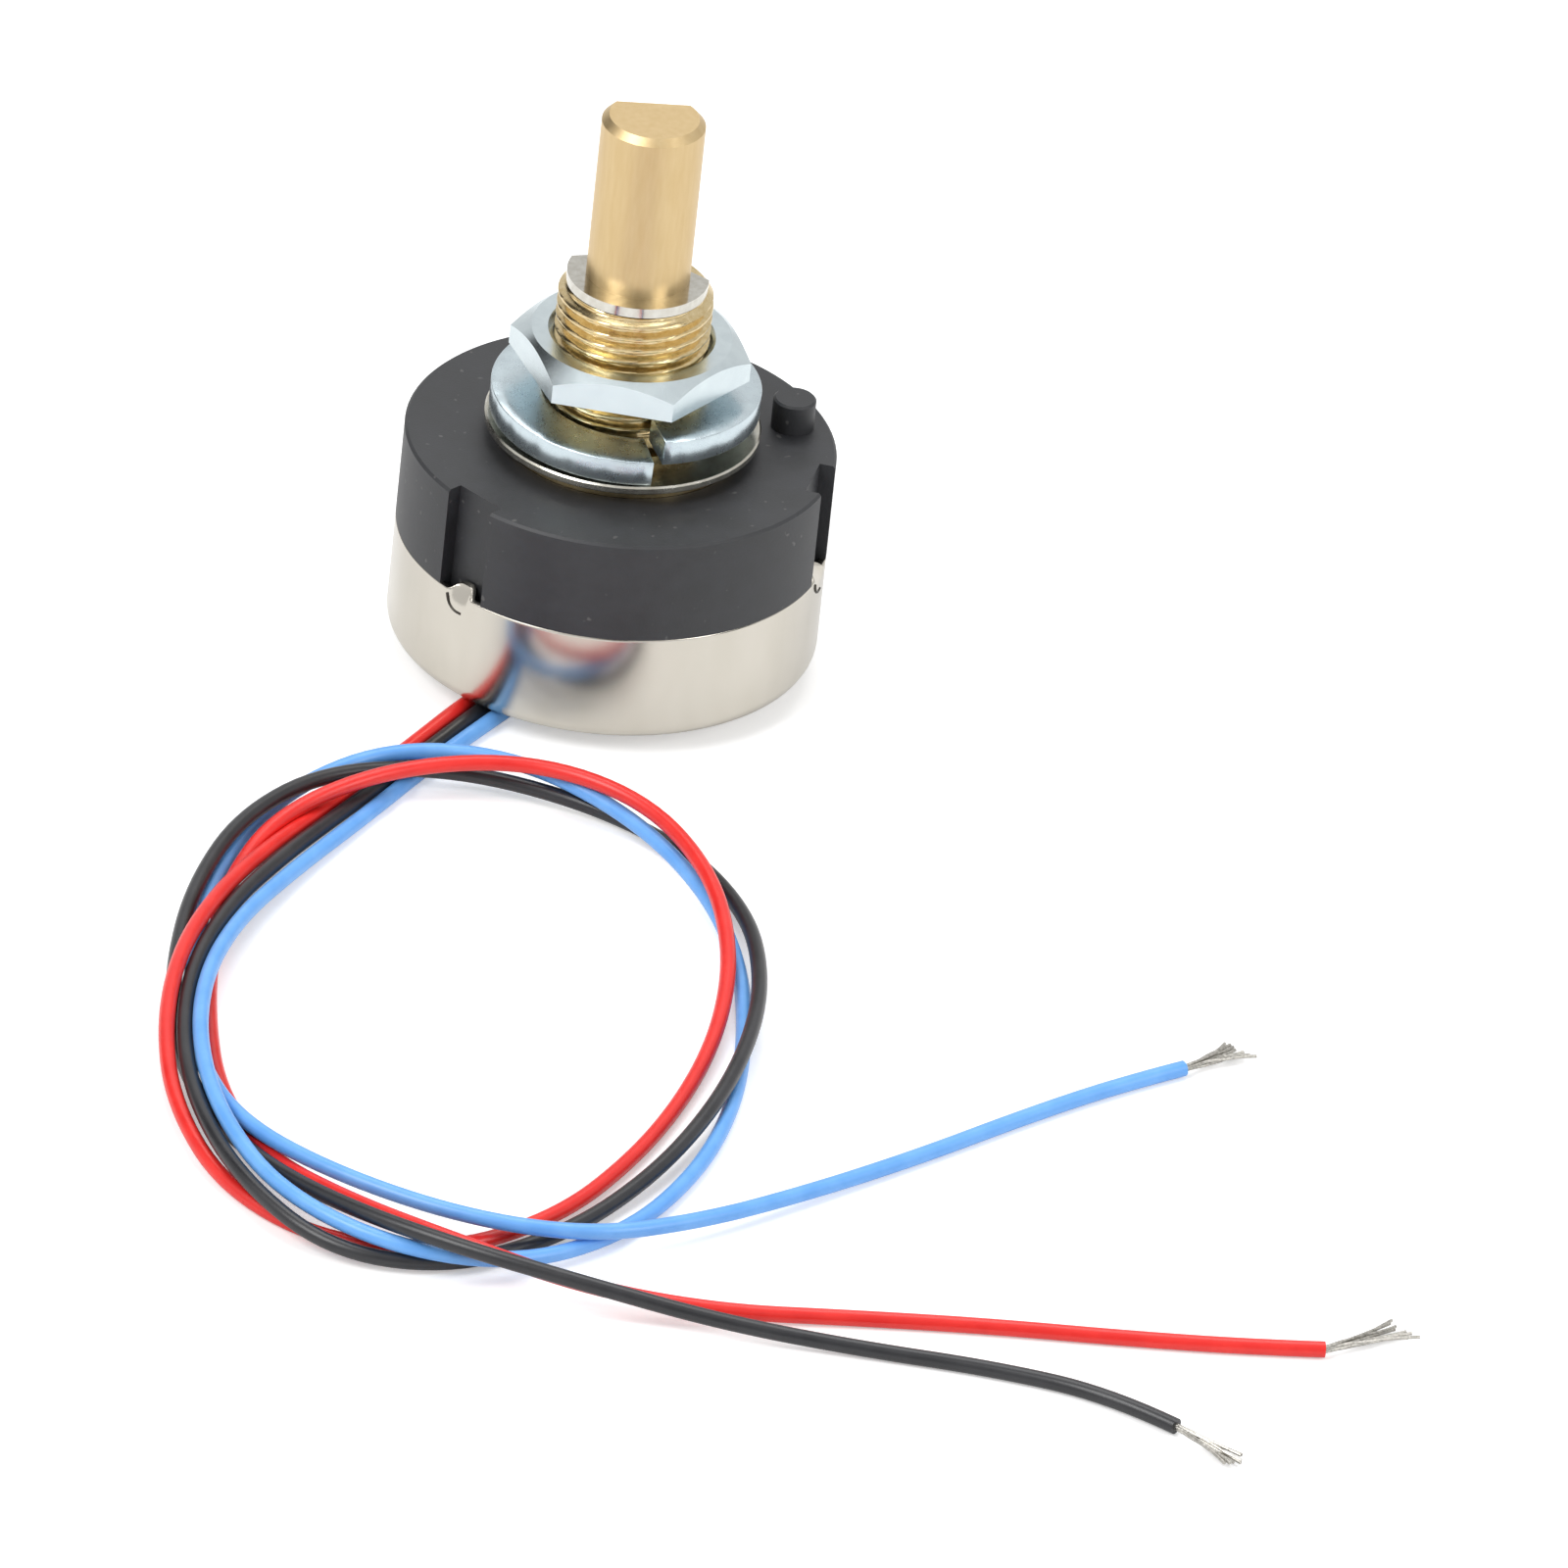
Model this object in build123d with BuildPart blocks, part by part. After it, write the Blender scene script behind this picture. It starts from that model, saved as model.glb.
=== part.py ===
from build123d import *
import math
import os

# Hall effect angle sensor: a round bush-mounted sensor with a turning shaft and three flying leads.
# Lengths are in millimetres. Z = 0 is the surface that the sensor stands on, and +Z runs along the shaft.

# shaft
shaft_dia = 6.0
shaft_free_length = 10.4  # above the retaining clip
shaft_chamfer = 0.4
flat_length = 4.9
flat_to_far_side = 4.5
flat_facing = 95.7  # degrees about +Z
shaft_running_gap = 0.03  # radial, between the shaft and the bushing
spigot_dia = 4.0
spigot_length = 1.6

# retaining clip
clip_thick = 0.6
clip_stand_out = 1.1  # past the shaft
clip_groove_depth = 0.4
clip_groove_gap = 0.06
clip_end_play = 0.06
clip_mouth_facing = 82.0
clip_mouth_half = 66.0
clip_tip_slope = 28.0

# bushing and its hardware
thread_dia = 9.0
thread_length = 9.4  # above the washer seat
bushing_chamfer = 0.35
flange_r = 7.0
seat_height = 0.8  # the bushing's flange stands this far above the housing's face
collar_overhang = 1.0  # past the flange, under the housing's top wall
collar_thick = 0.8
hardware_gap = 0.12  # radial, between the thread's crest and the flat washer
nut_gap = 0.05  # radial, between the thread's crest and the nut
flat_washer_r = 8.0
flat_washer_thick = 0.5
flat_washer_edge = 0.1
lock_washer_r = 7.8
lock_washer_bore_gap = 0.45
lock_washer_thick = 1.55
lock_washer_rise = 1.35
lock_washer_split = -72.5
lock_washer_split_gap = 4.0  # degrees
lock_seat_gap = 0.04
nut_flats = 12.2
nut_thick = 2.0
nut_chamfer_drop = 0.85
nut_face_inset = 0.3
nut_bore_chamfer = 0.3
nut_lift = 0.8  # above the lock washer's raised end, where it stands loose on the thread
nut_corner_facing = -6.0

# housing
body_dia = 25.0
housing_height = 6.2
housing_top_wall = 2.0
housing_edge = 0.15
skirt_wall = 1.85
lug_dia = 2.5
lug_height = 1.9
lug_radius = 10.3
lug_facing = 19.3
lug_edge = 0.12
groove_width = 3.3
groove_depth = 1.05
groove_facings = [-131.2, -11.2, 108.8]

# rear can
can_height = 6.8
can_wall = 0.4
can_corner_r = 1.0
skirt_gap = 0.05
fit_gap = 0.03  # radial, for pieces pressed or moulded together
tab_r = 1.0
tab_slit = 0.14
tab_tilt = 32.0
tab_neck = 0.9

# wire gland, which the sensor stands on
gland_stand = 1.1
gland_r = 7.0
gland_neck_r = 5.0
gland_head_overhang = 0.8  # past the neck, on the can's floor
gland_head_thick = 0.8
gland_exit_r = 6.5
gland_exit_facing = -125.0

# inside
board_thick = 1.0
board_gap = 0.4
board_lift = 0.3  # above the gland's head
spacer_wall = 1.0
spacer_corner_gap = 0.1
washer_end_play = 0.05
thrust_washer_r = 5.0
thrust_washer_thick = 0.5
carrier_wall = 2.0
magnet_dia = 6.0
magnet_thick = 2.5
chip_length = 4.9
chip_width = 3.9
chip_thick = 1.45
chip_stand = 0.15
chip_edge = 0.1
leg_pitch = 1.27
leg_width = 0.42
leg_thick = 0.2
leg_reach = 1.05
leg_foot = 0.55
chip_magnet_gap = 1.2
inner_lead_pitch = 2.2
solder_gap = 0.75  # from the chip's legs
solder_r = 0.85
solder_height = 0.6
solder_taper = 35.0

# wires
wire_dia = 0.92
strand_dia = 0.55

# drawing
past = 1.0  # how far a cutting shape runs past what it cuts
same_height = 0.01

# heights
can_top = gland_stand + can_height
housing_top = can_top + housing_height
seat_top = housing_top + seat_height
bushing_top = seat_top + thread_length
clip_bottom = bushing_top + clip_end_play
shaft_top = clip_bottom + clip_thick + shaft_free_length
top_wall_bottom = housing_top - housing_top_wall
collar_bottom = top_wall_bottom - collar_thick
washer_bottom = collar_bottom - washer_end_play - thrust_washer_thick
can_floor_top = gland_stand + can_wall
board_bottom = can_floor_top + gland_head_thick + board_lift
skirt_bottom = board_bottom + board_thick
lock_bottom = seat_top + flat_washer_thick
nut_bottom = lock_bottom + lock_washer_thick + lock_washer_rise + nut_lift
nut_top = nut_bottom + nut_thick
chip_bottom = skirt_bottom + chip_stand
magnet_bottom = chip_bottom + chip_thick + chip_magnet_gap

# radii
body_r = body_dia / 2
shaft_r = shaft_dia / 2
thread_r = thread_dia / 2
can_inner_r = body_r - can_wall
skirt_r = can_inner_r - skirt_gap
housing_inner_r = skirt_r - skirt_wall
collar_r = flange_r + collar_overhang
clip_outer_r = shaft_r + clip_stand_out
magnet_r = magnet_dia / 2

os.makedirs("parts", exist_ok=True)


def save(piece, name):
    piece.part.label = name
    export_step(piece.part, f"parts/{name}.step")


# shaft: plain journal, groove for the clip, flat on the far side of the free end, spigot below
with BuildPart() as shaft:
    with BuildSketch(Plane.XY.offset(washer_bottom)):
        Circle(shaft_r)
    extrude(amount=shaft_top - washer_bottom)
    chamfer(shaft.edges().group_by(Axis.Z)[-1], shaft_chamfer)
    with BuildSketch(Plane.XY.offset(washer_bottom - spigot_length)):
        Circle(spigot_dia / 2)
    extrude(amount=spigot_length)
    with BuildSketch(Plane.XY.offset(clip_bottom)):
        Circle(shaft_r + past)
        Circle(shaft_r - clip_groove_depth, mode=Mode.SUBTRACT)
    extrude(amount=clip_thick, mode=Mode.SUBTRACT)
    flat_plane = Plane.XY.offset(shaft_top - flat_length).rotated((0, 0, flat_facing))
    flat_depth = shaft_dia - flat_to_far_side
    with BuildSketch(flat_plane):
        with Locations((shaft_r - flat_depth / 2, 0)):
            Rectangle(flat_depth, shaft_dia)
    extrude(amount=flat_length, mode=Mode.SUBTRACT)
save(shaft, "shaft")

# retaining clip: an open ring in the groove, its tips sloped, its mouth to the back
clip_bore_r = shaft_r - clip_groove_depth + clip_groove_gap
mouth_inner = clip_mouth_half - clip_tip_slope / 2
mouth_outer = clip_mouth_half + clip_tip_slope / 2
with BuildPart() as shaft_clip:
    clip_plane = Plane.XY.offset(clip_bottom).rotated((0, 0, clip_mouth_facing))
    with BuildSketch(clip_plane):
        Circle(clip_outer_r)
        Circle(clip_bore_r, mode=Mode.SUBTRACT)
        reach = clip_outer_r + past
        tip = [
            (r * math.cos(math.radians(a)), r * math.sin(math.radians(a)))
            for r, a in ((clip_bore_r, mouth_inner), (clip_outer_r, mouth_outer))
        ]
        with BuildLine():
            Polyline(
                (0, 0),
                (tip[0][0], -tip[0][1]),
                (tip[1][0], -tip[1][1]),
                (tip[1][0], -reach),
                (reach, -reach),
                (reach, reach),
                (tip[1][0], reach),
                tip[1],
                tip[0],
                close=True,
            )
        make_face(mode=Mode.SUBTRACT)
    extrude(amount=clip_thick)
save(shaft_clip, "shaft_clip")

# threaded bushing: threaded barrel, seat flange in the housing's top wall and collar beneath it
with BuildPart() as threaded_bushing:
    with BuildSketch(Plane.XY.offset(seat_top)):
        Circle(thread_r)
    extrude(amount=thread_length)
    chamfer(threaded_bushing.edges().group_by(Axis.Z)[-1], bushing_chamfer)
    with BuildSketch(Plane.XY.offset(top_wall_bottom)):
        Circle(flange_r)
    extrude(amount=seat_top - top_wall_bottom)
    with BuildSketch(Plane.XY.offset(collar_bottom)):
        Circle(collar_r)
    extrude(amount=collar_thick)
    with BuildSketch(Plane.XY.offset(collar_bottom)):
        Circle(shaft_r + shaft_running_gap)
    extrude(amount=bushing_top - collar_bottom, mode=Mode.SUBTRACT)
save(threaded_bushing, "threaded_bushing")

# flat washer on the bushing's seat
with BuildPart() as flat_washer:
    with BuildSketch(Plane.XY.offset(seat_top)):
        Circle(flat_washer_r)
        Circle(thread_r + hardware_gap, mode=Mode.SUBTRACT)
    extrude(amount=flat_washer_thick)
    chamfer(flat_washer.edges().filter_by(GeomType.CIRCLE).group_by(SortBy.RADIUS)[-1], flat_washer_edge)
save(flat_washer, "flat_washer")

# split lock washer: a square-cut turn that climbs from the low end to the raised one
lock_bore_r = thread_r + lock_washer_bore_gap
lock_mid_r = (lock_washer_r + lock_bore_r) / 2
lock_turn = 1 - lock_washer_split_gap / 360
with BuildPart() as lock_washer:
    with BuildLine(Plane.XY.offset(lock_bottom + lock_washer_thick / 2)) as lock_path:
        Helix(lock_washer_rise / lock_turn, lock_washer_rise, lock_mid_r, lefthand=True)
    with BuildSketch(Plane(origin=lock_path.line @ 0, x_dir=(1, 0, 0), z_dir=lock_path.line % 0)):
        Rectangle(lock_washer_r - lock_bore_r, lock_washer_thick - lock_seat_gap)
    sweep(is_frenet=True)
lock_washer.part = lock_washer.part.rotate(Axis.Z, lock_washer_split - lock_washer_split_gap / 2)
save(lock_washer, "lock_washer")

# hex nut: both faces turned to a cone at the corners, both ends of the bore opened
nut_bore_r = thread_r + nut_gap
nut_corner_r = nut_flats / math.sqrt(3)
nut_face_r = nut_flats / 2 - nut_face_inset
with BuildPart() as hex_nut:
    with BuildSketch(Plane.XY.offset(nut_bottom).rotated((0, 0, nut_corner_facing))):
        RegularPolygon(nut_corner_r, 6)
        Circle(nut_bore_r, mode=Mode.SUBTRACT)
    extrude(amount=nut_thick)
    chamfer(hex_nut.edges().filter_by(GeomType.CIRCLE), nut_bore_chamfer)
    with BuildSketch(Plane.XZ) as nut_corner:
        with BuildLine():
            Polyline(
                (nut_face_r, nut_top),
                (nut_corner_r + past, nut_top),
                (nut_corner_r + past, nut_top - nut_chamfer_drop),
                (nut_corner_r, nut_top - nut_chamfer_drop),
                close=True,
            )
        make_face()
        mirror(about=Plane.XY.offset((nut_bottom + nut_top) / 2))
    revolve(axis=Axis.Z, mode=Mode.SUBTRACT)
save(hex_nut, "hex_nut")

# housing: top wall with the flange's hole, round wall, skirt that enters the can, lug, three grooves
with BuildPart() as housing:
    with BuildSketch(Plane.XY.offset(can_top)):
        Circle(body_r)
    extrude(amount=housing_height)
    chamfer(housing.edges().group_by(Axis.Z)[-1], housing_edge)
    with BuildSketch(Plane.XY.offset(skirt_bottom)):
        Circle(skirt_r)
    extrude(amount=can_top - skirt_bottom)
    with BuildSketch(Plane.XY.offset(skirt_bottom)):
        Circle(housing_inner_r)
    extrude(amount=top_wall_bottom - skirt_bottom, mode=Mode.SUBTRACT)
    with BuildSketch(Plane.XY.offset(top_wall_bottom)):
        Circle(flange_r + fit_gap)
    extrude(amount=housing_top_wall, mode=Mode.SUBTRACT)
    for facing in groove_facings:
        with BuildSketch(Plane.XY.offset(skirt_bottom).rotated((0, 0, facing))):
            with Locations((body_r, 0)):
                Rectangle(groove_depth * 2, groove_width)
        extrude(amount=housing_top - skirt_bottom, mode=Mode.SUBTRACT)
    with BuildSketch(Plane.XY.offset(housing_top).rotated((0, 0, lug_facing))):
        with Locations((lug_radius, 0)):
            Circle(lug_dia / 2)
    extrude(amount=lug_height)
    chamfer(housing.edges().group_by(Axis.Z)[-1], lug_edge)
save(housing, "housing")

# rear can: drawn cup with a rounded corner, a hole for the gland and a tab bent into each groove
tab_plane_r = body_r - can_wall / 2
tab_root = tab_r + tab_slit
with BuildPart() as rear_can:
    with BuildSketch(Plane.XY.offset(gland_stand)):
        Circle(body_r)
    extrude(amount=can_height)
    fillet(rear_can.edges().group_by(Axis.Z)[0], can_corner_r)
    with BuildSketch(Plane.XY.offset(can_floor_top)):
        Circle(can_inner_r)
    extrude(amount=can_height - can_wall, mode=Mode.SUBTRACT)
    inner_corner = rear_can.edges().filter_by(GeomType.CIRCLE).filter_by_position(
        Axis.Z, can_floor_top - same_height, can_floor_top + same_height
    )
    fillet(inner_corner, can_corner_r - can_wall)
    with BuildSketch(Plane.XY.offset(gland_stand)):
        Circle(gland_neck_r + fit_gap)
    extrude(amount=can_wall, mode=Mode.SUBTRACT)
    for facing in groove_facings:
        turn = math.radians(facing)
        lean = math.radians(tab_tilt)
        outward = Vector(math.cos(turn), math.sin(turn), 0)
        tangent = Vector(-math.sin(turn), math.cos(turn), 0)
        rim_point = outward * tab_plane_r + Vector(0, 0, can_top)
        with BuildSketch(Plane(origin=rim_point, x_dir=tangent, z_dir=outward)):
            Circle(tab_root)
        extrude(amount=can_wall, both=True, mode=Mode.SUBTRACT)
        leaning = outward * math.cos(lean) + Vector(0, 0, 1) * math.sin(lean)
        root_point = rim_point - Vector(0, 0, tab_root)
        with BuildSketch(Plane(origin=root_point, x_dir=tangent, z_dir=leaning)):
            with Locations((0, tab_root)):
                Circle(tab_r)
                with Locations((0, tab_r)):
                    Rectangle(tab_r * 2, tab_r * 2, mode=Mode.SUBTRACT)
            Rectangle(tab_neck, tab_neck)
        extrude(amount=can_wall / 2, both=True)
save(rear_can, "rear_can")

# wire gland: stands under the can, with a flat where the wires leave, and grips the can's floor
with BuildPart() as wire_gland:
    with BuildSketch(Plane.XY):
        Circle(gland_r)
    extrude(amount=gland_stand)
    with BuildSketch(Plane.XY.rotated((0, 0, gland_exit_facing))):
        with Locations((gland_exit_r + gland_r / 2, 0)):
            Rectangle(gland_r, gland_r * 2)
    extrude(amount=gland_stand, mode=Mode.SUBTRACT)
    with BuildSketch(Plane.XY.offset(gland_stand)):
        Circle(gland_neck_r)
    extrude(amount=can_wall)
    with BuildSketch(Plane.XY.offset(can_floor_top)):
        Circle(gland_neck_r + gland_head_overhang)
    extrude(amount=gland_head_thick)
save(wire_gland, "wire_gland")

# thrust washer between the carrier and the bushing
with BuildPart() as thrust_washer:
    with BuildSketch(Plane.XY.offset(washer_bottom)):
        Circle(thrust_washer_r)
        Circle(shaft_r + fit_gap, mode=Mode.SUBTRACT)
    extrude(amount=thrust_washer_thick)
save(thrust_washer, "thrust_washer")

# magnet carrier on the shaft's spigot, with a pocket below for the magnet
with BuildPart() as magnet_carrier:
    with BuildSketch(Plane.XY.offset(magnet_bottom)):
        Circle(magnet_r + carrier_wall)
    extrude(amount=washer_bottom - magnet_bottom)
    with BuildSketch(Plane.XY.offset(magnet_bottom)):
        Circle(magnet_r + fit_gap)
    extrude(amount=magnet_thick, mode=Mode.SUBTRACT)
    with BuildSketch(Plane.XY.offset(washer_bottom - spigot_length)):
        Circle(spigot_dia / 2 + fit_gap)
    extrude(amount=spigot_length, mode=Mode.SUBTRACT)
save(magnet_carrier, "magnet_carrier")

with BuildPart() as magnet:
    with BuildSketch(Plane.XY.offset(magnet_bottom)):
        Circle(magnet_r)
    extrude(amount=magnet_thick)
save(magnet, "magnet")

# circuit board under the housing's skirt, and the ring that it stands on
board_r = can_inner_r - board_gap
with BuildPart() as circuit_board:
    with BuildSketch(Plane.XY.offset(board_bottom)):
        Circle(board_r)
    extrude(amount=board_thick)
save(circuit_board, "circuit_board")

spacer_r = can_inner_r - (can_corner_r - can_wall) - spacer_corner_gap
with BuildPart() as spacer_ring:
    with BuildSketch(Plane.XY.offset(can_floor_top)):
        Circle(spacer_r)
        Circle(spacer_r - spacer_wall, mode=Mode.SUBTRACT)
    extrude(amount=board_bottom - can_floor_top)
save(spacer_ring, "spacer_ring")

# hall chip on the shaft's axis, its legs down to the board on two sides
with BuildPart() as hall_chip:
    with BuildSketch(Plane.XY.offset(chip_bottom)):
        Rectangle(chip_length, chip_width)
    extrude(amount=chip_thick)
    chamfer(hall_chip.edges().filter_by(Axis.Z), chip_edge)
save(hall_chip, "hall_chip")

leg_exit = chip_bottom + chip_thick / 2
leg_number = 0
for side in (-1, 1):
    for place in (-1.5, -0.5, 0.5, 1.5):
        leg_number += 1
        with BuildPart() as hall_chip_leg:
            with BuildSketch(Plane.YZ.offset(place * leg_pitch)):
                with BuildLine():
                    foot_y = side * (chip_width / 2 + leg_reach)
                    knee_y = side * (chip_width / 2 + leg_reach - leg_foot)
                    Polyline(
                        (side * chip_width / 2, leg_exit),
                        (knee_y, leg_exit),
                        (knee_y, skirt_bottom + leg_thick),
                        (foot_y, skirt_bottom + leg_thick),
                        (foot_y, skirt_bottom),
                        (knee_y - side * leg_thick, skirt_bottom),
                        (knee_y - side * leg_thick, leg_exit - leg_thick),
                        (side * chip_width / 2, leg_exit - leg_thick),
                        close=True,
                    )
                make_face()
            extrude(amount=leg_width / 2, both=True)
        save(hall_chip_leg, f"hall_chip_leg_{leg_number}")

# small parts on the board: name, length, width, height, x, y
board_parts = [
    ("supply_capacitor", 2.0, 1.25, 1.1, -5.6, 2.4),
    ("output_capacitor", 2.0, 1.25, 1.1, 5.6, -2.4),
    ("filter_resistor", 2.0, 1.25, 0.55, -5.6, -2.4),
]
for name, length, width, height, x, y in board_parts:
    with BuildPart() as board_part:
        with BuildSketch(Plane.XY.offset(skirt_bottom)):
            with Locations((x, y)):
                Rectangle(length, width)
        extrude(amount=height)
    save(board_part, name)

# leads from the gland's head up to the board, and the solder on the board above each
inner_lead_y = chip_width / 2 + leg_reach + solder_gap + solder_r
for colour, place in (("red", -1), ("black", 0), ("blue", 1)):
    with BuildPart() as inner_lead:
        with BuildSketch(Plane.XY.offset(can_floor_top + gland_head_thick)):
            with Locations((place * inner_lead_pitch, inner_lead_y)):
                Circle(wire_dia / 2)
        extrude(amount=board_bottom - can_floor_top - gland_head_thick)
    save(inner_lead, f"inner_lead_{colour}")
    with BuildPart() as solder_joint:
        with BuildSketch(Plane.XY.offset(skirt_bottom)):
            with Locations((place * inner_lead_pitch, inner_lead_y)):
                Circle(solder_r)
        extrude(amount=solder_height, taper=solder_taper)
    save(solder_joint, f"solder_joint_{colour}")

# flying leads: each leaves the gland's flat, makes one and a half turns on the surface and ends in bare strands
wire_routes = {
    "red": [
        (-4.6, -4.7, 0.5), (-6.9, -8.4, 0.6), (-10, -14.3, 0.5), (-13.6, -21.1, 0.5),
        (-17, -27.9, 1.2), (-19.7, -35, 1.9), (-21.4, -42.2, 2.1), (-21.7, -49.8, 1.8),
        (-20.5, -57.4, 1.2), (-17.1, -64.4, 0.5), (-11.2, -69, 0.5), (-4.1, -68.6, 0.5),
        (1.7, -63.6, 0.5), (5.4, -56.7, 0.5), (7.9, -49.5, 0.5), (9.4, -42.2, 0.8),
        (9.6, -34.6, 1.4), (7.9, -27, 2), (3.6, -20.8, 2.6), (-3.2, -18.3, 2.8),
        (-10.8, -20.1, 2.4), (-16.8, -24.8, 1.5), (-19.3, -31.6, 0.7), (-19.7, -39.3, 0.5),
        (-19.3, -46.9, 0.5), (-18.1, -54.4, 0.5), (-15, -61.1, 0.7), (-9.8, -66.6, 1.8),
        (-3.6, -70.7, 2.5), (3.5, -72.5, 1.6), (11, -72.1, 0.7), (18.5, -70.9, 0.5),
        (26.1, -70.2, 0.5), (33.8, -69.9, 0.5), (40.5, -69.4, 0.5), (44.8, -68.8, 0.5),
    ],
    "black": [
        (-3.7, -5.3, 0.5), (-6.1, -9, 0.5), (-9.2, -14.9, 0.5), (-12.8, -21.8, 0.7),
        (-16.2, -28.7, 1.1), (-19, -35.6, 1.5), (-20.6, -42.9, 1.6), (-20.6, -50.4, 1.6),
        (-19.2, -58.1, 1.7), (-16, -65.6, 1.7), (-10.6, -70.6, 0.9), (-3.8, -70.2, 0.5),
        (2.2, -65.4, 0.5), (6.6, -58.8, 0.8), (9.6, -51.8, 1.4), (11.2, -44.5, 1.6),
        (11.5, -36.9, 1.2), (10.3, -29.3, 0.7), (6.6, -22.8, 0.5), (0.2, -18.7, 0.7),
        (-7.6, -17.8, 1.4), (-14.6, -20.3, 1.8), (-19.1, -26.2, 1.7), (-21.2, -33.7, 1.2),
        (-21.7, -41.4, 0.8), (-21.1, -49, 0.5), (-18.9, -56.2, 0.5), (-15, -62.7, 1.2),
        (-9.8, -68.3, 2.4), (-3.4, -71.9, 2.9), (3.8, -73.2, 2.2), (11.3, -73.8, 1.1),
        (18.9, -74, 0.5), (26.7, -74.6, 0.5), (33.1, -76, 0.5), (36.9, -78.5, 0.5),
    ],
    "blue": [
        (-2.9, -5.9, 0.5), (-5.2, -9.7, 0.5), (-8.6, -15.7, 0.5), (-12.1, -22.7, 0.5),
        (-15.6, -29.8, 0.8), (-18.4, -36.9, 1.4), (-19.8, -44.3, 1.9), (-19.6, -52, 2.1),
        (-17.7, -59.8, 2.2), (-14, -66.7, 2.1), (-7.6, -70.8, 1.8), (-0.2, -70, 1),
        (5.5, -64.8, 0.6), (9, -57.6, 0.5), (10.7, -50, 0.5), (10.9, -42.4, 0.5),
        (10.2, -34.7, 0.5), (7.8, -27.4, 0.9), (3, -21.2, 1.6), (-3.8, -16.8, 2),
        (-11.1, -16.5, 1.6), (-16.7, -21.3, 0.9), (-19.7, -28.8, 0.5), (-20.7, -36.6, 0.5),
        (-20.5, -44.4, 0.5), (-19.5, -52.1, 1), (-16.7, -59.1, 1.6), (-11, -64.1, 2),
        (-3.6, -67.2, 2), (3.5, -67.4, 1.8), (9.6, -63.6, 1.2), (15.5, -58.4, 0.7),
        (21.3, -53.1, 0.5), (27, -47.6, 0.5), (32.1, -43.1, 0.5), (35.7, -40.5, 0.5),
    ],
}
strand_tips = {"red": (49.4, -65.4, 0.35), "black": (40.6, -81.4, 0.35), "blue": (39.1, -37.4, 0.35)}

for colour, route in wire_routes.items():
    points = [Vector(*point) for point in route]
    runs = [after - before for before, after in zip(points, points[1:])]
    radii = []
    for before, after in zip(runs, runs[1:]):
        half_turn = math.radians(before.get_angle(after) / 2)
        radii.append(0.45 * min(before.length, after.length) / math.tan(half_turn))
    with BuildPart() as wire:
        with BuildLine() as wire_path:
            FilletPolyline(*points, radius=radii)
        with BuildSketch(Plane(origin=points[0], z_dir=runs[0])):
            Circle(wire_dia / 2)
        sweep(path=wire_path.wires()[0])
    wire_length = wire_path.wires()[0].length
    section = math.pi * wire_dia**2 / 4
    print(colour, "length", round(wire_length, 1), "volume", round(wire.part.volume, 1),
          "of", round(section * wire_length, 1), "radii", [round(r, 1) for r in radii])
    save(wire, f"wire_{colour}")
    tip = Vector(*strand_tips[colour])
    with BuildPart() as strands:
        with BuildSketch(Plane(origin=points[-1], z_dir=tip - points[-1])):
            Circle(strand_dia / 2)
        extrude(amount=(tip - points[-1]).length)
    save(strands, f"strands_{colour}")
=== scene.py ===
import bmesh
import bpy
import math
import random
from mathutils import Matrix, Vector


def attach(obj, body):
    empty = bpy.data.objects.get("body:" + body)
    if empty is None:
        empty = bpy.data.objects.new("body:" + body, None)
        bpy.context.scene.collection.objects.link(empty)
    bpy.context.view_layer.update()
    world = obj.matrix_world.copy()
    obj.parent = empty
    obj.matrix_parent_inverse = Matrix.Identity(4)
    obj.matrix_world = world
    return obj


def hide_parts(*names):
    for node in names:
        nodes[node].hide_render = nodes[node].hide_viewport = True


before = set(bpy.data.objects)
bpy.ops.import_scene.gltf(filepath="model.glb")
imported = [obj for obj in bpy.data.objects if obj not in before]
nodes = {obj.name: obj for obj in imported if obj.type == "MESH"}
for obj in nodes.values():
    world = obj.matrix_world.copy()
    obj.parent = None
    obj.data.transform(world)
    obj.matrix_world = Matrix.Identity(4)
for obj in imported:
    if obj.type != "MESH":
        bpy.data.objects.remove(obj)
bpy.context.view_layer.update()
mm = 0.001
fullTurn = 2 * math.pi
print("frame loaded:", len(nodes), "pieces")


# camera: degrees, millimetres of lens, metres
lookout = {
    "elevation": 30.72, "roll": 6.24, "lens": 597.07, "distance": 1.4912,
    "target": (0.0115, -0.01505, 0.0011), "nearest": 0.1, "furthest": 20,
}


def placeCamera():
    made = bpy.data.objects.new("camera", bpy.data.cameras.new("camera"))
    bpy.context.scene.collection.objects.link(made)
    turn = Matrix.Rotation(math.radians(90 - lookout["elevation"]), 4, "X")
    turn = turn @ Matrix.Rotation(math.radians(lookout["roll"]), 4, "Z")
    spot = Vector(lookout["target"]) + turn.to_3x3() @ Vector((0, 0, lookout["distance"]))
    made.matrix_world = Matrix.Translation(spot) @ turn
    made.data.lens = lookout["lens"]
    made.data.clip_start, made.data.clip_end = lookout["nearest"], lookout["furthest"]
    bpy.context.scene.camera = made


placeCamera()
print("camera placed")


# material kit
class Signal:  # one socket of a material, so that shader maths reads as an expression
    def __init__(self, finish, socket):
        self.finish, self.socket = finish, socket

    def maths(self, operation, first, second):
        return self.finish.node("ShaderNodeMath", {"operation": operation}, {0: first, 1: second})

    def __add__(self, other):
        return self.maths("ADD", self, other)

    def __sub__(self, other):
        return self.maths("SUBTRACT", self, other)

    def __rsub__(self, other):
        return self.maths("SUBTRACT", other, self)

    def __mul__(self, other):
        return self.maths("MULTIPLY", self, other)

    __radd__ = __add__
    __rmul__ = __mul__


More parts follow.
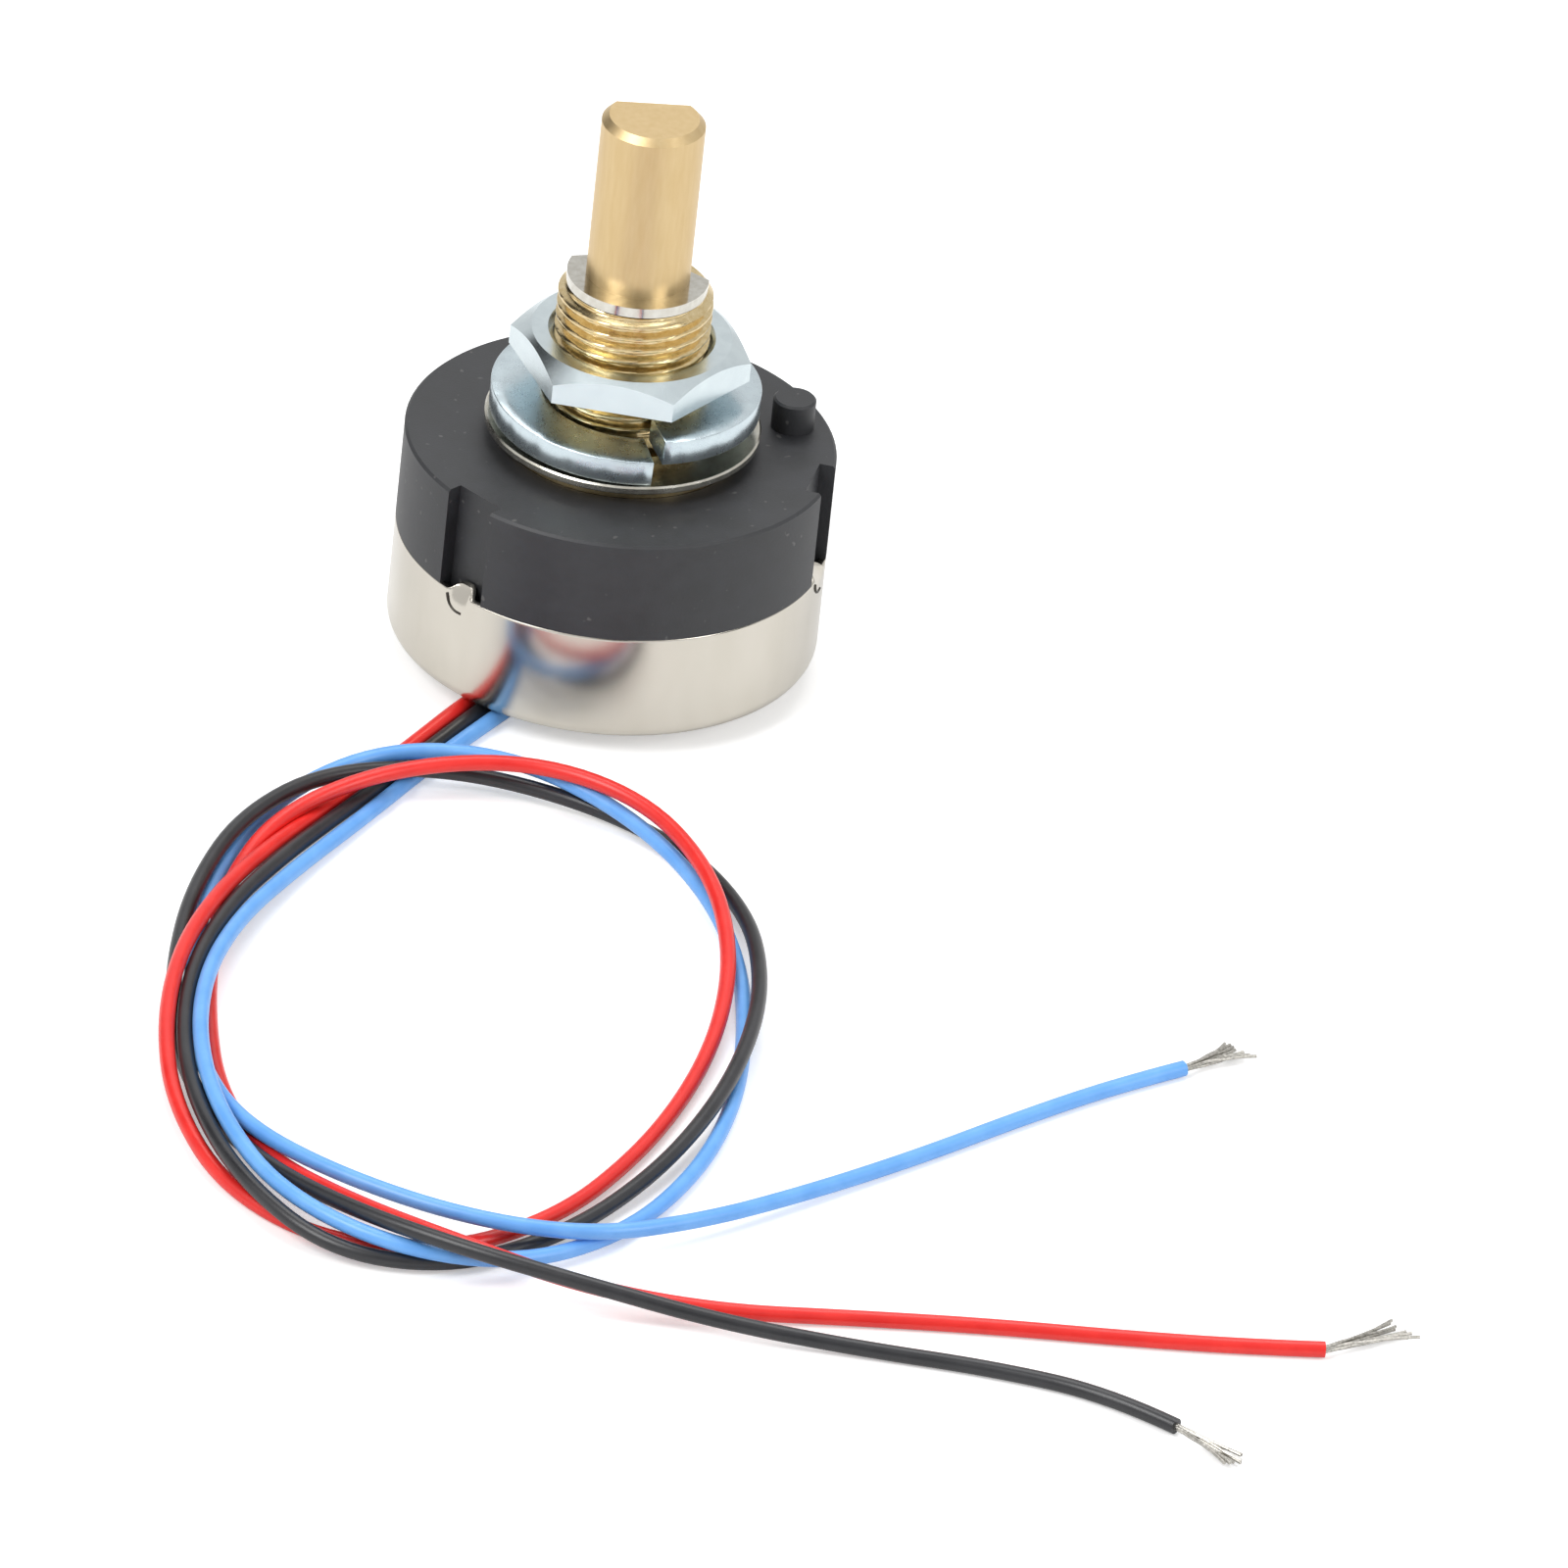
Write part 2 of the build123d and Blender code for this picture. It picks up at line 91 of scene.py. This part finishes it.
class Finish:  # the nodes of a material, or of the world
    def __init__(self, owner, shaderName, look):
        owner.use_nodes = True
        self.material, self.tree = owner, owner.node_tree
        self.shader = self.tree.nodes[shaderName]
        for label, value in look.items():
            self.shader.inputs[label].default_value = value

    def node(self, kind, settings, sockets, out=0):
        made = self.tree.nodes.new(kind)
        for label, value in settings.items():
            setattr(made, label, value)
        for label, value in sockets.items():
            if isinstance(value, Signal):
                self.tree.links.new(value.socket, made.inputs[label])
            else:
                made.inputs[label].default_value = value
        return Signal(self, made.outputs[out])

    def feed(self, label, signal):
        self.tree.links.new(signal.socket, self.shader.inputs[label])

    def place(self, stretch=(1, 1, 1)):  # the piece's own coordinates, in millimetres
        spot = self.node("ShaderNodeTexCoord", {}, {}, "Object")
        return self.node("ShaderNodeMapping", {}, {"Vector": spot, "Scale": [s / mm for s in stretch]})

    def noise(self, scale, detail=2, roughness=0.5, stretch=(1, 1, 1)):
        return self.node("ShaderNodeTexNoise", {}, {
            "Vector": self.place(stretch), "Scale": scale, "Detail": detail, "Roughness": roughness})

    def between(self, signal, low, high):  # 0 below low, 1 above high
        return self.node("ShaderNodeMapRange", {"clamp": True}, {0: signal, 1: low, 2: high, 3: 0, 4: 1})

    def blend(self, factor, first, second):
        return self.node("ShaderNodeMix", {"data_type": "RGBA"}, {0: factor, 6: first, 7: second}, 2)

    def bump(self, height, strength, reach):
        facts = {"Height": height, "Strength": strength, "Distance": reach * mm}
        return self.node("ShaderNodeBump", {}, facts)


def surface(name, look):
    return Finish(bpy.data.materials.new(name), "Principled BSDF", look)


def rgb(red, green, blue):  # a colour as the eye reads it, 0 to 255, for a shader socket
    parts = []
    for value in (red, green, blue):
        share = value / 255
        parts.append(share / 12.92 if share <= 0.04045 else ((share + 0.055) / 1.055) ** 2.4)
    return (*parts, 1)


# metals: two tones in soft patches, with a fine grain; patch and grainScale count waves per millimetre
def metal(name, light, dark, rough, spread, patch, stretch=(1, 1, 1), grain=0.15, grainScale=12):
    made = surface(name, {"Metallic": 1.0})
    cloud = made.noise(patch, 3, 0.55, stretch)
    fine = made.noise(grainScale, 2, 0.6, stretch)
    made.feed("Base Color", made.blend(made.between(cloud, 0.3, 0.7), rgb(*dark), rgb(*light)))
    made.feed("Roughness", rough + spread * (cloud - 0.5) + spread * (fine - 0.5))
    made.feed("Normal", made.bump(fine, grain, 0.01))
    return made


metals = {
    "shaftBrass": dict(light=(212, 188, 144), dark=(206, 180, 134), rough=0.42, spread=0.04, patch=2.5,
                       stretch=(1, 1, 0.15), grain=0.04, grainScale=14),
    "threadBrass": dict(light=(224, 205, 163), dark=(206, 182, 132), rough=0.22, spread=0.1, patch=3,
                        grain=0.08, grainScale=16),
    "nutZinc": dict(light=(214, 225, 228), dark=(205, 216, 220), rough=0.24, spread=0.05, patch=0.9,
                    grain=0.08, grainScale=10),
    "washerZinc": dict(light=(206, 219, 224), dark=(198, 211, 217), rough=0.28, spread=0.05, patch=1.4,
                       grain=0.08, grainScale=9),
    "washerNickel": dict(light=(206, 204, 194), dark=(188, 184, 172), rough=0.24, spread=0.12, patch=1.2,
                         grain=0.12, grainScale=14),
    "clipSteel": dict(light=(214, 212, 204), dark=(194, 190, 180), rough=0.12, spread=0.08, patch=2,
                      grain=0.06, grainScale=16),
    "canNickel": dict(light=(202, 197, 187), dark=(196, 191, 180), rough=0.2, spread=0.03, patch=0.5,
                      stretch=(1, 1, 0.3), grain=0.02, grainScale=12),
    # the slit finish is painted shade: the dark seen in the slit beside each crimped tab
    "canSlitShade": dict(light=(80, 77, 72), dark=(66, 63, 58), rough=0.4, spread=0.1, patch=2),
    "leadTin": dict(light=(200, 197, 190), dark=(150, 147, 140), rough=0.32, spread=0.2, patch=6,
                    grain=0.2, grainScale=20),
    "magnetNickel": dict(light=(206, 204, 198), dark=(188, 186, 180), rough=0.22, spread=0.1, patch=2),
    "solderTin": dict(light=(210, 210, 208), dark=(186, 186, 184), rough=0.24, spread=0.12, patch=3),
}


# plastics: two near tones, a moulded grain, and pale specks of dust where dusty is above 0
dust = {"scale": 1.7, "thinnest": 0.72, "full": 0.78, "tone": (150, 148, 144)}


def plastic(name, light, dark, rough, patch, grain, grainScale, dusty=0.0):
    made = surface(name, {})
    cloud = made.noise(patch, 3, 0.6)
    fine = made.noise(grainScale, 3, 0.6)
    colour = made.blend(made.between(cloud, 0.35, 0.65), rgb(*dark), rgb(*light))
    if dusty:
        specks = made.between(made.noise(dust["scale"], 1, 0.4), dust["thinnest"], dust["full"])
        colour = made.blend(dusty * specks, colour, rgb(*dust["tone"]))
    made.feed("Base Color", colour)
    made.feed("Roughness", rough + 0.12 * (cloud - 0.5))
    made.feed("Normal", made.bump(fine, grain, 0.02))
    return made


plastics = {
    "housingBlack": dict(light=(47, 48, 51), dark=(41, 42, 44), rough=0.5, patch=0.5, grain=0.4, grainScale=7,
                         dusty=0.2),
    "glandBlack": dict(light=(44, 44, 46), dark=(36, 36, 38), rough=0.6, patch=1, grain=0.3, grainScale=8),
    "nylonWhite": dict(light=(228, 226, 218), dark=(218, 215, 205), rough=0.5, patch=1, grain=0.2,
                       grainScale=8),
    "carrierPlastic": dict(light=(70, 72, 76), dark=(60, 62, 66), rough=0.5, patch=1, grain=0.2,
                           grainScale=8),
    "boardGreen": dict(light=(38, 104, 62), dark=(28, 88, 50), rough=0.38, patch=3, grain=0.35, grainScale=5),
    "chipEpoxy": dict(light=(38, 38, 40), dark=(32, 32, 34), rough=0.62, patch=4, grain=0.3, grainScale=20),
    "capacitorBody": dict(light=(176, 142, 104), dark=(160, 126, 90), rough=0.45, patch=3, grain=0.2,
                          grainScale=12),
    "redInsulation": dict(light=(232, 46, 40), dark=(222, 38, 34), rough=0.34, patch=0.5, grain=0.12,
                          grainScale=3),
    "blackInsulation": dict(light=(44, 44, 47), dark=(36, 36, 39), rough=0.34, patch=0.5, grain=0.12,
                            grainScale=3),
    "blueInsulation": dict(light=(112, 174, 240), dark=(100, 164, 234), rough=0.34, patch=0.5, grain=0.12,
                           grainScale=3),
}
finishes = {name: metal(name, **facts) for name, facts in metals.items()}
finishes.update({name: plastic(name, **facts) for name, facts in plastics.items()})
print("finishes made:", len(finishes))


# flying leads: the route's points in metres, from the gland to the bare end
leads = {
    "thick": 0.00092, "sides": 8, "steps": 8,
    "lengths": {"red": 0.2551, "black": 0.2561, "blue": 0.2599},
    "red": [
        (-0.0046, -0.0047, 0.0005), (-0.0069, -0.0084, 0.0006), (-0.0100, -0.0143, 0.0005),
        (-0.0136, -0.0211, 0.0005), (-0.0170, -0.0279, 0.0012), (-0.0197, -0.0350, 0.0019),
        (-0.0214, -0.0422, 0.0021), (-0.0217, -0.0498, 0.0018), (-0.0205, -0.0574, 0.0012),
        (-0.0171, -0.0644, 0.0005), (-0.0112, -0.0690, 0.0005), (-0.0041, -0.0686, 0.0005),
        (0.0017, -0.0636, 0.0005), (0.0054, -0.0567, 0.0005), (0.0079, -0.0495, 0.0005),
        (0.0094, -0.0422, 0.0008), (0.0096, -0.0346, 0.0014), (0.0079, -0.0270, 0.0020),
        (0.0036, -0.0208, 0.0026), (-0.0032, -0.0183, 0.0028), (-0.0108, -0.0201, 0.0024),
        (-0.0168, -0.0248, 0.0015), (-0.0193, -0.0316, 0.0007), (-0.0197, -0.0393, 0.0005),
        (-0.0193, -0.0469, 0.0005), (-0.0181, -0.0544, 0.0005), (-0.0150, -0.0611, 0.0007),
        (-0.0098, -0.0666, 0.0018), (-0.0036, -0.0707, 0.0025), (0.0035, -0.0725, 0.0016),
        (0.0110, -0.0721, 0.0007), (0.0185, -0.0709, 0.0005), (0.0261, -0.0702, 0.0005),
        (0.0338, -0.0699, 0.0005), (0.0405, -0.0694, 0.0005), (0.0448, -0.0688, 0.0005),
    ],
    "black": [
        (-0.0037, -0.0053, 0.0005), (-0.0061, -0.0090, 0.0005), (-0.0092, -0.0149, 0.0005),
        (-0.0128, -0.0218, 0.0007), (-0.0162, -0.0287, 0.0011), (-0.0190, -0.0356, 0.0015),
        (-0.0206, -0.0429, 0.0016), (-0.0206, -0.0504, 0.0016), (-0.0192, -0.0581, 0.0017),
        (-0.0160, -0.0656, 0.0017), (-0.0106, -0.0706, 0.0009), (-0.0038, -0.0702, 0.0005),
        (0.0022, -0.0654, 0.0005), (0.0066, -0.0588, 0.0008), (0.0096, -0.0518, 0.0014),
        (0.0112, -0.0445, 0.0016), (0.0115, -0.0369, 0.0012), (0.0103, -0.0293, 0.0007),
        (0.0066, -0.0228, 0.0005), (0.0002, -0.0187, 0.0007), (-0.0076, -0.0178, 0.0014),
        (-0.0146, -0.0203, 0.0018), (-0.0191, -0.0262, 0.0017), (-0.0212, -0.0337, 0.0012),
        (-0.0217, -0.0414, 0.0008), (-0.0211, -0.0490, 0.0005), (-0.0189, -0.0562, 0.0005),
        (-0.0150, -0.0627, 0.0012), (-0.0098, -0.0683, 0.0024), (-0.0034, -0.0719, 0.0029),
        (0.0038, -0.0732, 0.0022), (0.0113, -0.0738, 0.0011), (0.0189, -0.0740, 0.0005),
        (0.0267, -0.0746, 0.0005), (0.0331, -0.0760, 0.0005), (0.0369, -0.0785, 0.0005),
    ],
    "blue": [
        (-0.0029, -0.0059, 0.0005), (-0.0052, -0.0097, 0.0005), (-0.0086, -0.0157, 0.0005),
        (-0.0121, -0.0227, 0.0005), (-0.0156, -0.0298, 0.0008), (-0.0184, -0.0369, 0.0014),
        (-0.0198, -0.0443, 0.0019), (-0.0196, -0.0520, 0.0021), (-0.0177, -0.0598, 0.0022),
        (-0.0140, -0.0667, 0.0021), (-0.0076, -0.0708, 0.0018), (-0.0002, -0.0700, 0.0010),
        (0.0055, -0.0648, 0.0006), (0.0090, -0.0576, 0.0005), (0.0107, -0.0500, 0.0005),
        (0.0109, -0.0424, 0.0005), (0.0102, -0.0347, 0.0005), (0.0078, -0.0274, 0.0009),
        (0.0030, -0.0212, 0.0016), (-0.0038, -0.0168, 0.0020), (-0.0111, -0.0165, 0.0016),
        (-0.0167, -0.0213, 0.0009), (-0.0197, -0.0288, 0.0005), (-0.0207, -0.0366, 0.0005),
        (-0.0205, -0.0444, 0.0005), (-0.0195, -0.0521, 0.0010), (-0.0167, -0.0591, 0.0016),
        (-0.0110, -0.0641, 0.0020), (-0.0036, -0.0672, 0.0020), (0.0035, -0.0674, 0.0018),
        (0.0096, -0.0636, 0.0012), (0.0155, -0.0584, 0.0007), (0.0213, -0.0531, 0.0005),
        (0.0270, -0.0476, 0.0005), (0.0321, -0.0431, 0.0005), (0.0357, -0.0405, 0.0005),
    ],
}


def newCurve(name, thick, finish, sides):
    line = bpy.data.curves.new(name, "CURVE")
    line.dimensions = "3D"
    line.bevel_depth = thick / 2
    line.bevel_resolution = sides
    line.use_fill_caps = True
    line.materials.append(finish.material)
    made = bpy.data.objects.new(name, line)
    bpy.context.scene.collection.objects.link(made)
    return made


def addRun(line, route, steps):  # a smooth run through space, guided by the route's points
    spline = line.data.splines.new("NURBS")
    spline.points.add(len(route) - 1)
    for point, place in zip(spline.points, route):
        point.co = (*place, 1)
    spline.order_u = 3
    spline.use_endpoint_u = True
    spline.resolution_u = steps
    spline.use_smooth = True


# bare strands: each wire's fine tinned filaments, fanned out towards the tip
strands = {
    "thick": 0.0002, "count": 9, "bundle": 0.0002, "flatness": 0.6, "tuck": 0.0002,
    "shortest": 0.82, "curl": 1.6, "wander": 0.00012, "twist": 2, "gather": 0.5, "sides": 3, "steps": 6,
    "tips": {
        "red": (0.0494, -0.0654, 0.00035), "black": (0.0406, -0.0814, 0.00035),
        "blue": (0.0391, -0.0374, 0.00035),
    },
    "fan": {"red": 0.0011, "black": 0.0007, "blue": 0.0010},
}


def fanStrands(colour):
    draw = random.Random(colour)
    made = newCurve(f"strands_{colour}_filaments", strands["thick"], finishes["leadTin"], strands["sides"])
    start, tip = Vector(leads[colour][-1]), Vector(strands["tips"][colour])
    along = (tip - start).normalized()
    across = along.cross(Vector((0, 0, 1))).normalized()
    rise = across.cross(along)
    reach = (tip - start).length
    last = strands["count"] - 1
    for number in range(strands["count"]):
        turn = fullTurn * number / last
        ring = strands["bundle"] if number else 0  # the first runs down the middle
        side = (number - last / 2) / last * 2
        spread = ring * strands["flatness"]
        root = start - along * strands["tuck"]
        root = root + across * spread * math.cos(turn) + rise * spread * math.sin(turn)
        length = reach * draw.uniform(strands["shortest"], 1.0)
        route = [root]
        for step in (0.2, 0.4, 0.6, 0.8, 1.0):
            wander = draw.uniform(-strands["wander"], strands["wander"])
            sway = side * strands["fan"][colour] * step ** strands["curl"] + wander
            height = ring * math.sin(turn + step * strands["twist"]) * (1 - step * strands["gather"])
            spot = start + along * length * step + across * sway + rise * height
            spot.z = max(spot.z, strands["thick"] / 2)
            route.append(spot)
        addRun(made, route, strands["steps"])
    return made


for colour in ("red", "black", "blue"):
    wire = newCurve(f"lead_{colour}", leads["thick"], finishes[f"{colour}Insulation"], leads["sides"])
    addRun(wire, leads[colour], leads["steps"])
    filaments = fanStrands(colour)
    for piece, node, slotName in (
            (wire, f"wire_{colour}", f"{colour}_insulation"),
            (filaments, f"strands_{colour}", "tinned_copper")):
        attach(piece, "sensor_body")
        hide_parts(node)
print("leads laid")


# threaded bushing: a lathe-turned barrel with a cut thread, on its flange and collar; all in millimetres
bushing = {
    "crest": 4.5, "pitch": 0.75, "depth": 0.44, "seat": 14.9, "top": 24.3, "relief": 16.4, "chamfer": 0.42,
    "bore": 3.03, "flange": 7.0, "wall": 12.1, "collar": 8.0, "foot": 11.3, "edge": 0.12,
    "rootHalf": 0.18, "flank": 0.64, "roundness": 0.55, "runIn": 0.5, "columns": 144, "rows": 14,
}


def threadRadius(height, turn):
    away = abs((height / bushing["pitch"] - turn / fullTurn) % 1 - 0.5) * 2  # 1 on a crest, 0 in a root
    share = min(max((away - bushing["rootHalf"]) / bushing["flank"], 0), 1)
    rounded = share * share * (3 - 2 * share)
    share = (1 - bushing["roundness"]) * share + bushing["roundness"] * rounded
    root = bushing["crest"] - bushing["depth"]
    start = min(max((height - bushing["relief"]) / bushing["runIn"], 0), 1)
    radius = root + bushing["depth"] * share * start
    return min(radius, bushing["crest"] - bushing["chamfer"] + (bushing["top"] - height))


def onCircle(radius, turn, height):
    return Vector((radius * math.cos(turn), radius * math.sin(turn), height)) * mm


def ringPoints(radius, height, columns):
    points = []
    for number in range(columns):
        turn = fullTurn * number / columns
        points.append(onCircle(radius(height, turn) if callable(radius) else radius, turn, height))
    return points


def ringMesh(name, rings, finish, sharp=32):  # a closed skin through rings of points, last joined to first
    mesh = bmesh.new()
    rows = [[mesh.verts.new(point) for point in ring] for ring in rings]
    columns = len(rows[0])
    for lower, upper in zip(rows, rows[1:] + rows[:1]):
        for number in range(columns):
            after = (number + 1) % columns
            mesh.faces.new((lower[number], lower[after], upper[after], upper[number]))
    bmesh.ops.recalc_face_normals(mesh, faces=mesh.faces)
    return finishMesh(name, mesh, finish, sharp)


def finishMesh(name, mesh, finish, sharp):
    for edge in mesh.edges:
        edge.smooth = len(edge.link_faces) != 2 or edge.calc_face_angle(0) < math.radians(sharp)
    for face in mesh.faces:
        face.smooth = True
    data = bpy.data.meshes.new(name)
    mesh.to_mesh(data)
    mesh.free()
    data.materials.append(finish.material)
    made = bpy.data.objects.new(name, data)
    bpy.context.scene.collection.objects.link(made)
    return made


def standFor(piece, node, body):
    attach(piece, body)
    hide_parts(node)
    print("built", piece.name)


def turnBushing():
    edge, top, seat = bushing["edge"], bushing["top"], bushing["seat"]
    rings = []
    for radius, height in (
            (bushing["bore"], bushing["foot"] + edge), (bushing["bore"] + edge, bushing["foot"]),
            (bushing["collar"] - edge, bushing["foot"]), (bushing["collar"], bushing["foot"] + edge),
            (bushing["collar"], bushing["wall"]), (bushing["flange"], bushing["wall"]),
            (bushing["flange"], seat - edge), (bushing["flange"] - edge, seat)):
        rings.append(ringPoints(radius, height, bushing["columns"]))
    rowCount = round((top - seat) / bushing["pitch"] * bushing["rows"])
    for row in range(rowCount + 1):
        rings.append(ringPoints(threadRadius, seat + (top - seat) * row / rowCount, bushing["columns"]))
    rings.append(ringPoints(bushing["bore"] + edge, top, bushing["columns"]))
    rings.append(ringPoints(bushing["bore"], top - edge, bushing["columns"]))
    return ringMesh("bushing_turned", rings, finishes["threadBrass"])


standFor(turnBushing(), "threaded_bushing", "sensor_body")


# rear can: a deep-drawn cup, with its rim crimped into the housing's three grooves
can = {
    "outer": 12.5, "wall": 0.4, "foot": 1.1, "top": 7.9, "corner": 1.0, "hole": 5.03, "edge": 0.05,
    "columns": 360, "cornerSteps": 8,
    "tabs": (-131.2, -11.2, 108.8), "tabHalf": 0.9, "tabDepth": 0.6, "tabRise": 0.5,
    "tabRoot": 7.1, "tabRows": 6, "bendCurve": 1.5,
    # slit entries: size and route of the dark tube painted as the shade in each tab's slit
    "slitThick": 0.16, "slitReach": 0.95, "slitHeight": 7.7, "slitFrom": 185,
    "slitSweep": 100, "slitSteps": 5, "slitSides": 3, "sharp": 70,
}


def tabShare(turn):  # 1 in the middle of a crimped tab, 0 beside it
    best = 0
    for facing in can["tabs"]:
        away = math.remainder(turn - math.radians(facing), fullTurn) * can["outer"] / can["tabHalf"]
        best = max(best, 1 - away * away)
    return math.sin(best * math.pi / 2)


def cornerPoints(radius, height, rounding):  # a quarter turn from the cup's floor up to its wall
    points = []
    for step in range(can["cornerSteps"] + 1):
        lean = math.pi / 2 * step / can["cornerSteps"]
        points.append((radius - rounding * (1 - math.sin(lean)), height + rounding * (1 - math.cos(lean))))
    return points


def drawCan():
    outer, inner, top, edge = can["outer"], can["outer"] - can["wall"], can["top"], can["edge"]
    floorTop = can["foot"] + can["wall"]
    rowRise = (top - edge - can["tabRoot"]) / can["tabRows"]
    rise = [can["tabRoot"] + rowRise * row for row in range(can["tabRows"] + 1)]
    profile = [(can["hole"], floorTop), (can["hole"], can["foot"])]
    profile += cornerPoints(outer, can["foot"], can["corner"]) + [(outer, height) for height in rise]
    profile += [(outer - edge, top), (inner + edge, top)] + [(inner, height) for height in reversed(rise)]
    profile += reversed(cornerPoints(inner, floorTop, can["corner"] - can["wall"]))
    rings = []
    for radius, height in profile:
        bend = max((height - can["tabRoot"]) / (top - can["tabRoot"]), 0) ** can["bendCurve"]
        ring = []
        for number in range(can["columns"]):
            turn = fullTurn * number / can["columns"]
            share = bend * tabShare(turn)
            size = radius - can["tabDepth"] * share
            ring.append(onCircle(size, turn, height + can["tabRise"] * share))
        rings.append(ring)
    return ringMesh("can_drawn", rings, finishes["canNickel"], can["sharp"])


def drawSlitShade():  # painted shade: a dark tube along the fine curved cut that frees each tab from the wall
    made = newCurve("can_slit_shade", can["slitThick"] * mm, finishes["canSlitShade"], can["slitSides"])
    for facing in can["tabs"]:
        route = []
        for step in range(can["slitSteps"] + 1):
            lean = math.radians(can["slitFrom"] + can["slitSweep"] * step / can["slitSteps"])
            turn = math.radians(facing) + can["slitReach"] * math.cos(lean) / can["outer"]
            height = can["slitHeight"] + can["slitReach"] * math.sin(lean)
            route.append(onCircle(can["outer"], turn, height))
        addRun(made, route, strands["steps"])
    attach(made, "sensor_body")


standFor(drawCan(), "rear_can", "sensor_body")
drawSlitShade()


# CAD pieces that keep their shape, and the finish of each
dressing = {
    "shaft": "shaftBrass", "shaft_clip": "clipSteel", "flat_washer": "washerNickel",
    "lock_washer": "washerZinc", "hex_nut": "nutZinc", "housing": "housingBlack",
    "wire_gland": "glandBlack", "thrust_washer": "nylonWhite",
    "spacer_ring": "nylonWhite", "magnet_carrier": "carrierPlastic", "magnet": "magnetNickel",
    "circuit_board": "boardGreen", "hall_chip": "chipEpoxy", "supply_capacitor": "capacitorBody",
    "output_capacitor": "capacitorBody", "filter_resistor": "chipEpoxy",
}
dressing.update({f"hall_chip_leg_{number}": "leadTin" for number in range(1, 9)})
for colour in ("red", "black", "blue"):
    dressing[f"inner_lead_{colour}"] = f"{colour}Insulation"
    dressing[f"solder_joint_{colour}"] = "solderTin"
for node, finishName in dressing.items():
    nodes[node].data.materials.clear()
    nodes[node].data.materials.append(finishes[finishName].material)
print("pieces dressed:", len(dressing))


# lock washer: stamped edges, rounded a little
washerEdges = {"width": 0.05, "segments": 2, "from": 40, "reach": 0.001}


def roundEdges(piece):
    weld = piece.modifiers.new("weld", "WELD")
    weld.merge_threshold = washerEdges["reach"] * mm
    bevel = piece.modifiers.new("soften", "BEVEL")
    bevel.width = washerEdges["width"] * mm
    bevel.segments = washerEdges["segments"]
    bevel.limit_method = "ANGLE"
    bevel.angle_limit = math.radians(washerEdges["from"])
    bevel.harden_normals = True


roundEdges(nodes["lock_washer"])
print("lock washer softened")


# floor, world and lamps
studio = {
    "floorSize": 6.0, "floorDrop": 0.00002, "floorTones": ((236, 236, 236), (240, 240, 240)),
    "floorLift": 0.38, "floorShine": 0.15,  # what the floor adds to what is seen, and to what is reflected
    "worldLight": 0.45, "worldSeen": 0.8, "cardTone": (20, 20, 20),
    "lamps": [
        ("key", (-0.55, -0.45, 0.75), 0.5, 6.0),
        ("fill", (0.65, -0.35, 0.45), 0.4, 2.5),
        ("top", (0.0, 0.35, 0.9), 0.6, 3.5),
    ],
    "cards": [  # dark cards that only reflections see: spot, width, height
        ("cardRight", (0.75, -0.25, 0.3), 0.35, 1.0),
        ("cardFront", (0.12, -1.0, 0.55), 0.3, 0.9),
        ("cardLeft", (-0.5, 0.35, 0.3), 0.3, 1.0),
    ],
    "target": (0.0, -0.01, 0.01),
}


def seenRays(finish):  # 1 for rays that show the backdrop, by sight or in a reflection
    rays = [finish.node("ShaderNodeLightPath", {}, {}, label) for label in
            ("Is Camera Ray", "Is Glossy Ray", "Is Transmission Ray")]
    return finish.between(rays[0] + rays[1] + rays[2], 0, 1)


def flatPanel(name, halfWidth, halfHeight, finish):
    corners = ((-1, -1), (1, -1), (1, 1), (-1, 1))
    mesh = bpy.data.meshes.new(name)
    mesh.from_pydata([(x * halfWidth, y * halfHeight, 0) for x, y in corners], [], [(0, 1, 2, 3)])
    mesh.materials.append(finish.material)
    made = bpy.data.objects.new(name, mesh)
    bpy.context.scene.collection.objects.link(made)
    return made


def layFloor():
    finish = surface("floorPale", {"Roughness": 0.9, "Specular IOR Level": 0.1, "Emission Strength": 1})
    first, second = studio["floorTones"]
    tone = finish.between(finish.noise(0.02), 0.2, 0.8)
    finish.feed("Base Color", finish.blend(tone, rgb(*first), rgb(*second)))
    sight = finish.node("ShaderNodeLightPath", {}, {}, "Is Camera Ray")
    reflected = seenRays(finish) - sight
    finish.feed("Emission Color", studio["floorLift"] * sight + studio["floorShine"] * reflected)
    half = studio["floorSize"] / 2
    made = flatPanel("floor", half, half, finish)
    made.location.z = -studio["floorDrop"]


def lightWorld():
    world = bpy.data.worlds.new("studio")
    bpy.context.scene.world = world
    sky = Finish(world, "Background", {"Color": (1, 1, 1, 1)})
    sight = sky.node("ShaderNodeLightPath", {}, {}, "Is Camera Ray")
    shine = studio["worldSeen"] - studio["worldLight"]
    sky.feed("Strength", studio["worldLight"] + shine * seenRays(sky) + (1 - studio["worldSeen"]) * sight)


def hangLamp(name, spot, size, power):
    lamp = bpy.data.lights.new(name, "AREA")
    lamp.shape = "SQUARE"
    lamp.size = size
    lamp.energy = power
    made = bpy.data.objects.new(name, lamp)
    bpy.context.scene.collection.objects.link(made)
    made.location = spot
    made.rotation_euler = (Vector(studio["target"]) - Vector(spot)).to_track_quat("-Z", "Y").to_euler()


def hangCard(name, spot, width, height):
    look = {"Base Color": rgb(*studio["cardTone"]), "Roughness": 0.9, "Specular IOR Level": 0.0}
    made = flatPanel(name, width / 2, height / 2, surface(f"{name}Black", look))
    made.location = spot
    made.rotation_euler = (Vector(studio["target"]) - Vector(spot)).to_track_quat("Z", "Y").to_euler()
    made.visible_camera = made.visible_diffuse = made.visible_shadow = made.visible_transmission = False


layFloor()
lightWorld()
for cardFacts in studio["cards"]:
    hangCard(*cardFacts)
for lampFacts in studio["lamps"]:
    hangLamp(*lampFacts)
bpy.context.scene.view_settings.view_transform = "Standard"
print("studio lit")
